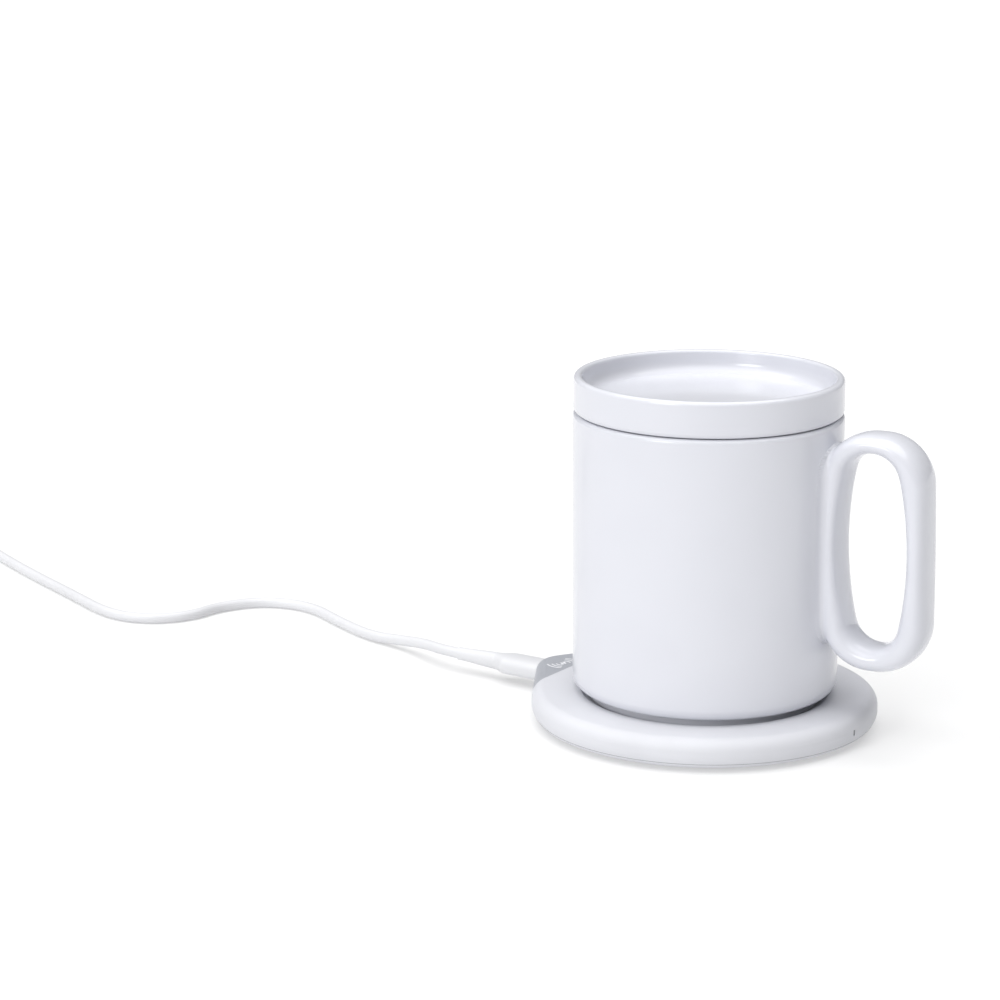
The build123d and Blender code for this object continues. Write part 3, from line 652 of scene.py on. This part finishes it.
# ---------------------------------------------------------------- lid
lid_profile = joined(
    (POLE, 95.1),  # underside of the plug
    bend(29.8, 94.3, 0.8, 90, 0, 7),
    bend(31.4, 90.8, 1.0, 180, 270, 9),  # ring that goes into the cup
    bend(33.4, 90.8, 1.0, 270, 360, 9),
    bend(35.3, 94.6, 0.5, 180, 90, 5),
    bend(38.4, 96.5, 1.4, -90, 0, 11),  # band over the rim
    bend(38.5, 104.5, 1.3, 0, 90, 11),
    bend(38.2, 104.8, 1.0, 90, 180, 9),
    bend(33.7, 102.6, 3.5, 0, -90, 15),  # dish
    (POLE, 99.1),
)
put("lid_dish", skin(turned(lid_profile)), glaze, "lid", "glaze", "lid")

# ---------------------------------------------------------------- lead
CORD_RADIUS = 1.7
CORD_DIAMETER = 2 * CORD_RADIUS
PLUG_LEVEL = 5.6
COIL_X, COIL_Y = -344.0, 12.5
COIL_START = np.radians(62.0)
COIL_OUTSIDE = 23.4  # radius of the outer turns, at the middle of the lead
COIL_SPREAD = 1.0045  # the spline runs a little inside its control points
TURN_POINTS = 24
TIE_PLACE = np.radians(-25.0)
TIE_OUT, TIE_LEVEL = 20.0, 4.0  # middle of the band, from the coil's middle and the table
TIE_SIZE = (6.0, 3.7)  # half width and half height of the band's path round the turns
TIE_POWER = 4.2  # squareness of that path
TIE_HALF_THICK, TIE_HALF_BROAD = 0.3, 4.0


def ease(value, start, end):
    """0 before start, 1 after end, and an S between them."""
    share = np.clip((value - start) / (end - start), 0, 1)
    return share * share * (3 - 2 * share)


def coil_turns():
    """Control points of the wound part: two layers of three turns. The lead comes in at the
    outside of the lower layer, steps inwards turn by turn, climbs at the innermost turn and steps
    outwards again on top. Each step takes a sixth of a turn, and under the tie the turns lift."""
    turns = np.arange(1, 127) / TURN_POINTS
    angle = COIL_START + turns * FULL_TURN

    def step(start):
        return ease(turns, start, start + 1 / 6)

    lane = step(5 / 6) + step(11 / 6) - step(7 / 2) - step(9 / 2)
    radius = (COIL_OUTSIDE - CORD_DIAMETER * lane) * COIL_SPREAD
    off_tie = np.degrees(np.angle(np.exp(1j * (angle - TIE_PLACE))))
    lift = 0.6 * np.exp(-((off_tie / 22.0) ** 2))
    level = CORD_RADIUS + CORD_DIAMETER * step(8 / 3) + lift
    return np.stack([COIL_X + radius * np.cos(angle), COIL_Y + radius * np.sin(angle), level], 1)


cord_points = np.array(
    [
        (-86.0, 0.0, 5.6),
        (-96.0, 0.0, 5.6),
        (-106.5, 4.6, 4.9),
        (-118.0, 8.8, 3.0),
        (-133.0, 10.5, 1.7),
        (-152.0, 18.5, 1.7),
        (-170.0, 27.5, 1.7),
        (-187.0, 24.5, 1.7),
        (-196.0, 10.5, 1.7),
        (-196.5, -4.5, 1.7),
        (-205.5, -15.5, 1.7),
        (-220.5, -18.0, 1.7),
        (-246.0, -7.0, 1.7),
        (-279.0, 6.5, 1.7),
        (-308.0, 20.0, 1.7),
        (-333.01, 33.16, 1.7),
    ]
)
tail_points = np.array(
    [
        (-367.4, 12.5, 5.1),
        (-368.6, 2.0, 4.6),
        (-370.0, -7.5, 4.0),
        (-370.0, -16.0, 4.0),
    ]
)


def lead(name, points):
    """Round sheath along one open NURBS spline of order 3, from its first point to its last."""
    curve = bpy.data.curves.new(name, "CURVE")
    curve.dimensions = "3D"
    curve.bevel_depth = CORD_RADIUS * MM
    curve.bevel_resolution = 6
    curve.use_fill_caps = True
    curve.resolution_u = 10
    spline = curve.splines.new("NURBS")
    spline.points.add(len(points) - 1)
    spline.points.foreach_set("co", np.c_[points * MM, np.ones(len(points))].ravel())
    spline.order_u = 3
    spline.use_endpoint_u = True
    curve.materials.append(lead_plastic)
    piece = linked(name, curve)
    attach(piece, "pad")
    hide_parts("cord_run", "cord_coil", "cord_tail")
    return piece


sheath = lead("lead_sheath", np.vstack([cord_points, coil_turns(), tail_points]))


def moulding(stations, origin, along, across, count):
    """Squared ovals carried along a straight line. A station is (distance, half width, half
    height, squareness), and squareness 2 is an ellipse. Above 2 the corners fill out."""
    distance, wide, tall, power = np.array(stations, float).T[:, :, None]
    turn = around(count)
    origin, along, across = np.array([origin, along, across], float)
    upward = np.cross(along, across)
    side = wide * squared(np.cos(turn), power)
    rise = tall * squared(np.sin(turn), power)
    line = origin + distance[..., None] * along
    return line + side[..., None] * across + rise[..., None] * upward


def swelling(start, end, count):
    """Stations between two stations, with both sizes and the squareness following an S curve."""
    start, end = np.array([start, end], float)
    share = np.linspace(0, 1, count)[:, None]
    sizes = start[1:] + (end[1:] - start[1:]) * ease(share, 0, 1)
    return np.hstack([start[0] + (end[0] - start[0]) * share, sizes])


def edged(station, radius, back=1, count=6):
    """Stations of a rounded end: the sizes shrink by the radius on a quarter circle. Back is 1
    where the end is the last station, and -1 where it is the first."""
    distance, wide, tall, power = station
    turn = np.linspace(0, np.pi / 2, count)
    places = distance + back * radius * (np.sin(turn) - 1)
    shrink = radius * (1 - np.cos(turn))
    rounded = np.stack([places, wide - shrink, tall - shrink, np.full(count, power)], axis=1)
    return rounded[::back]


def lead_moulding(name, stations, origin, along, across, replaced, count=72):
    """Moulded part of the lead, round its line."""
    surface = skin(moulding(np.vstack(stations), origin, along, across, count))
    return put(name, surface, lead_plastic, "pad", "lead_plastic", replaced)


# the pad's plug: moulded body with soft shoulders, and the sleeve that the lead comes out of
OUT_OF_PAD = ((-1, 0, 0), (0, -1, 0))
plug_stations = (
    edged((0.0, 5.3, 2.9, 2.7), 0.4, -1),
    [(0.8, 5.3, 2.9, 2.7), (6.0, 5.3, 2.9, 2.7), (12.4, 5.28, 2.9, 2.65)],
    swelling((13.0, 5.25, 2.9, 2.6), (19.0, 2.75, 2.65, 2.05), 15),
)
plug_body = lead_moulding(
    "plug_body", plug_stations, (-57.0, 0, PLUG_LEVEL), *OUT_OF_PAD, "plug_housing"
)
sleeve_stations = (
    swelling((0.0, 2.72, 2.62, 2.0), (13.2, 2.05, 2.05, 2.0), 15),
    edged((14.0, 2.02, 2.02, 2.0), 0.3, 1, 5),
)
plug_sleeve = lead_moulding(
    "plug_sleeve", sleeve_stations, (-76.0, 0, PLUG_LEVEL), *OUT_OF_PAD, "plug_strain_relief"
)

# the far plug: sleeve and moulded grip
GRIP_X, GRIP_LEVEL = -370.0, 4.0
OUT_OF_COIL = ((0, -1, 0), (1, 0, 0))
grip_sleeve_stations = (
    edged((0.0, 1.98, 1.98, 2.0), 0.25, -1, 4),
    swelling((0.6, 2.0, 2.0, 2.0), (8.0, 2.7, 2.7, 2.2), 13),
)
grip_sleeve = lead_moulding(
    "grip_sleeve",
    grip_sleeve_stations,
    (GRIP_X, -16.0, GRIP_LEVEL),
    *OUT_OF_COIL,
    "usb_a_strain_relief",
)
grip_stations = (
    edged((0.0, 7.2, 3.7, 3.4), 1.3, -1),
    swelling((1.6, 7.25, 3.75, 3.6), (5.0, 7.8, 4.0, 4.6), 9),
    [(10.0, 7.8, 4.0, 4.8), (20.4, 7.8, 4.0, 4.8)],
    edged((22.0, 7.8, 4.0, 4.8), 0.6),
)
grip = lead_moulding(
    "grip", grip_stations, (GRIP_X, -24.0, GRIP_LEVEL), *OUT_OF_COIL, "usb_a_housing", 96
)


def tie_band():
    """Band round the coil's turns: a squared oval path, and a flat section with rounded edges."""
    way = around(96)[:, None]
    section = around(28)[None, :]
    thick = TIE_HALF_THICK * squared(np.cos(section), 4)
    broad = TIE_HALF_BROAD * squared(np.sin(section), 8)
    radius = TIE_OUT + (TIE_SIZE[0] + thick) * squared(np.cos(way), TIE_POWER)
    level = TIE_LEVEL + (TIE_SIZE[1] + thick) * squared(np.sin(way), TIE_POWER)
    x = COIL_X + radius * np.cos(TIE_PLACE) - broad * np.sin(TIE_PLACE)
    y = COIL_Y + radius * np.sin(TIE_PLACE) + broad * np.cos(TIE_PLACE)
    return np.stack(np.broadcast_arrays(x, y, level), axis=-1)


tie = put(
    "coil_strap", skin(tie_band(), closed=True), tie_plastic, "pad", "tie_plastic", "coil_tie"
)

# ---------------------------------------------------------------- case
PAD_RADIUS = 51.8
CORNER_RADIUS = 9.6
CORNER_OUT = 49.2  # from the pad's middle to the middle of its corner
PARTING_LEVEL = 2.6
SHADE_RING_HALF = 0.11  # half the height of the dark ring of painted seam shade
SHADE_RING_BACK = 1.7  # how far the dark ring goes into the case
SHADE_RING_PROUD = 0.03
EDGE_LEVEL, EDGE_RADIUS = 5.3, 4.5  # middle and radius of the rounding under the case's edge


def case_outline(inset):
    """The pad's outline moved inwards by an inset: round body, small round corner, and straight
    sides that touch both, as a centre on the x axis plus a distance along a direction."""
    lean = np.arccos((PAD_RADIUS - CORNER_RADIUS) / CORNER_OUT)
    body = np.linspace(lean - np.pi, np.pi - lean, 216)
    side = np.linspace(0, 1, 16)[1:-1]
    corner = np.linspace(np.pi - lean, np.pi + lean, 48)
    facing = np.r_[body, 0 * side + corner[0], corner, 0 * side + corner[-1]]
    share = np.r_[0 * body, side, 0 * corner + 1, side[::-1]]
    reach = PAD_RADIUS + (CORNER_RADIUS - PAD_RADIUS) * share - np.asarray(inset)[..., None]
    return -CORNER_OUT * share + reach * np.cos(facing), reach * np.sin(facing)


def parting_shade_ring():
    """Thin dark ring in the seam between the two halves of the case: painted shade that stands in
    for the seam's shadow line. Its outer face follows the rounding under the case's edge and
    stands a little proud of it, least at its two borders."""
    share = np.linspace(-1, 1, 9)
    level = PARTING_LEVEL + SHADE_RING_HALF * share
    under = EDGE_RADIUS - np.sqrt(EDGE_RADIUS**2 - (EDGE_LEVEL - level) ** 2)
    inset = np.r_[under - SHADE_RING_PROUD * (1 - share**4), SHADE_RING_BACK, SHADE_RING_BACK]
    level = np.r_[level, PARTING_LEVEL + SHADE_RING_HALF, PARTING_LEVEL - SHADE_RING_HALF]
    x, y = case_outline(inset)
    return np.stack([x, y, level[:, None] + 0 * x], axis=-1)


# dark ring of painted shade along the seam between the case halves
put("parting_shade_ring", skin(parting_shade_ring(), closed=True), painted_seam_shade, "pad", "mat_rubber")

# ---------------------------------------------------------------- sign on the inlay
SIGN_X, SIGN_Y = -48.9, -2.6
SIGN_LEVEL = 10.012
SIGN_TURN = np.radians(8.0)
SIGN_RADII = (2.2, 3.6, 5.0)
PRINT_HALF_WIDTH, PRINT_HALF_THICK = 0.24, 0.03
ARC_HALF = 0.62  # radians to either side of an arc's facing
WAVE_LENGTH, WAVE_HEIGHT = 1.15, 0.75


def sign_line(along, aside):
    """Thin printed line: its centre line is given along and beside the sign's axis, and its flat
    section narrows to nothing on a half circle at both ends."""
    step_along, step_aside = np.gradient(along), np.gradient(aside)
    length = np.hypot(step_along, step_aside)
    way = np.cumsum(length) - length[0]
    past_end = np.clip(1 - np.minimum(way, way[-1] - way) / PRINT_HALF_WIDTH, 0, 0.999)
    wide = PRINT_HALF_WIDTH * np.sqrt(1 - past_end**2)[:, None]
    turn = around(12)[None, :]
    along = along[:, None] - wide * np.cos(turn) * (step_aside / length)[:, None]
    aside = aside[:, None] + wide * np.cos(turn) * (step_along / length)[:, None]
    level = SIGN_LEVEL + PRINT_HALF_THICK * np.sin(turn) * wide / PRINT_HALF_WIDTH
    x = SIGN_X + along * np.sin(SIGN_TURN) + aside * np.cos(SIGN_TURN)
    y = SIGN_Y + along * np.cos(SIGN_TURN) - aside * np.sin(SIGN_TURN)
    return np.stack([x, y, level], axis=-1)


def sign_arc(radius, facing):
    """Arc about the sign's middle, to either side of its facing."""
    turn = facing + np.linspace(-ARC_HALF, ARC_HALF, 48)
    return sign_line(radius * np.cos(turn), radius * np.sin(turn))


def sign_wave():
    """Sine wave of two wave lengths on the sign's axis."""
    along = np.linspace(-WAVE_LENGTH, WAVE_LENGTH, 60)
    return sign_line(along, WAVE_HEIGHT * np.sin(along * FULL_TURN / WAVE_LENGTH))


def gathered(*surfaces):
    """Several closed surfaces as the points and faces of one mesh."""
    points, faces = [], []
    for surface_points, surface_faces in surfaces:
        start = sum(len(part) for part in points)
        points.append(surface_points)
        faces += [[corner + start for corner in face] for face in surface_faces]
    return np.vstack(points), faces


sign_lines = [sign_arc(radius, facing) for facing in (0.0, np.pi) for radius in SIGN_RADII]
sign_surfaces = [skin(line) for line in sign_lines + [sign_wave()]]
put("inlay_sign", gathered(*sign_surfaces), print_white, "pad", "inlay_plastic")

# ---------------------------------------------------------------- studio
FLOOR_LEVEL = -0.00005  # a hair under the table's level, so that it doesn't meet the mat


def floor_disc():
    """Flat disc: points in metres on rings round the z axis, and one face in the middle."""
    radius = np.array([0.05, 0.4, 1.2, 3.0, 10.0, 45.0])[:, None]
    turn = around(96)[None, :]
    grid = np.broadcast_arrays(radius * np.cos(turn), radius * np.sin(turn), FLOOR_LEVEL)
    points = np.stack(grid, axis=-1).reshape(-1, 3)
    index = np.arange(len(points)).reshape(radius.size, turn.size)
    after = np.roll(index, -1, axis=1)
    quads = np.stack([index[:-1], index[1:], after[1:], after[:-1]], axis=-1).reshape(-1, 4)
    return points.tolist(), quads.tolist() + [index[0].tolist()]


def floor_paper():
    """Matt white paper with a faint cloudiness and a slight glow of its own."""
    finish = Finish("floor_paper")
    cloud = finish.grain(9.0, 4.0)
    return finish.shade(
        Base_Color=finish.blend(cloud, grey(0.54), grey(0.56)),
        Roughness=0.8 + 0.1 * cloud,
        Specular_IOR_Level=0.2,
        Emission_Color=grey(1.0),
        Emission_Strength=0.36,
    )


floor_points, floor_faces = floor_disc()
floor_mesh = bpy.data.meshes.new("studio_floor")
floor_mesh.from_pydata(floor_points, [], floor_faces)
floor_mesh.materials.append(floor_paper())
linked("studio_floor", floor_mesh)

world = bpy.data.worlds.new("studio")
world.use_nodes = True
backdrop = world.node_tree.nodes["Background"].inputs
backdrop["Color"].default_value = grey(1.0)
backdrop["Strength"].default_value = 0.14
scene.world = world


def lamp(name, direction, strength, softness):
    """Far lamp that shines along a direction; softness is its width in the sky, in degrees."""
    lamp_data = bpy.data.lights.new(name, "SUN")
    lamp_data.energy = strength
    lamp_data.angle = np.radians(softness)
    look_along(linked(name, lamp_data), direction)


lamp("overhead", (0.03, 0.10, -1.0), 3.5, 85.0)
lamp("front_left", (0.13, 0.97, -0.34), 1.15, 25.0)

scene.view_settings.view_transform = "Standard"
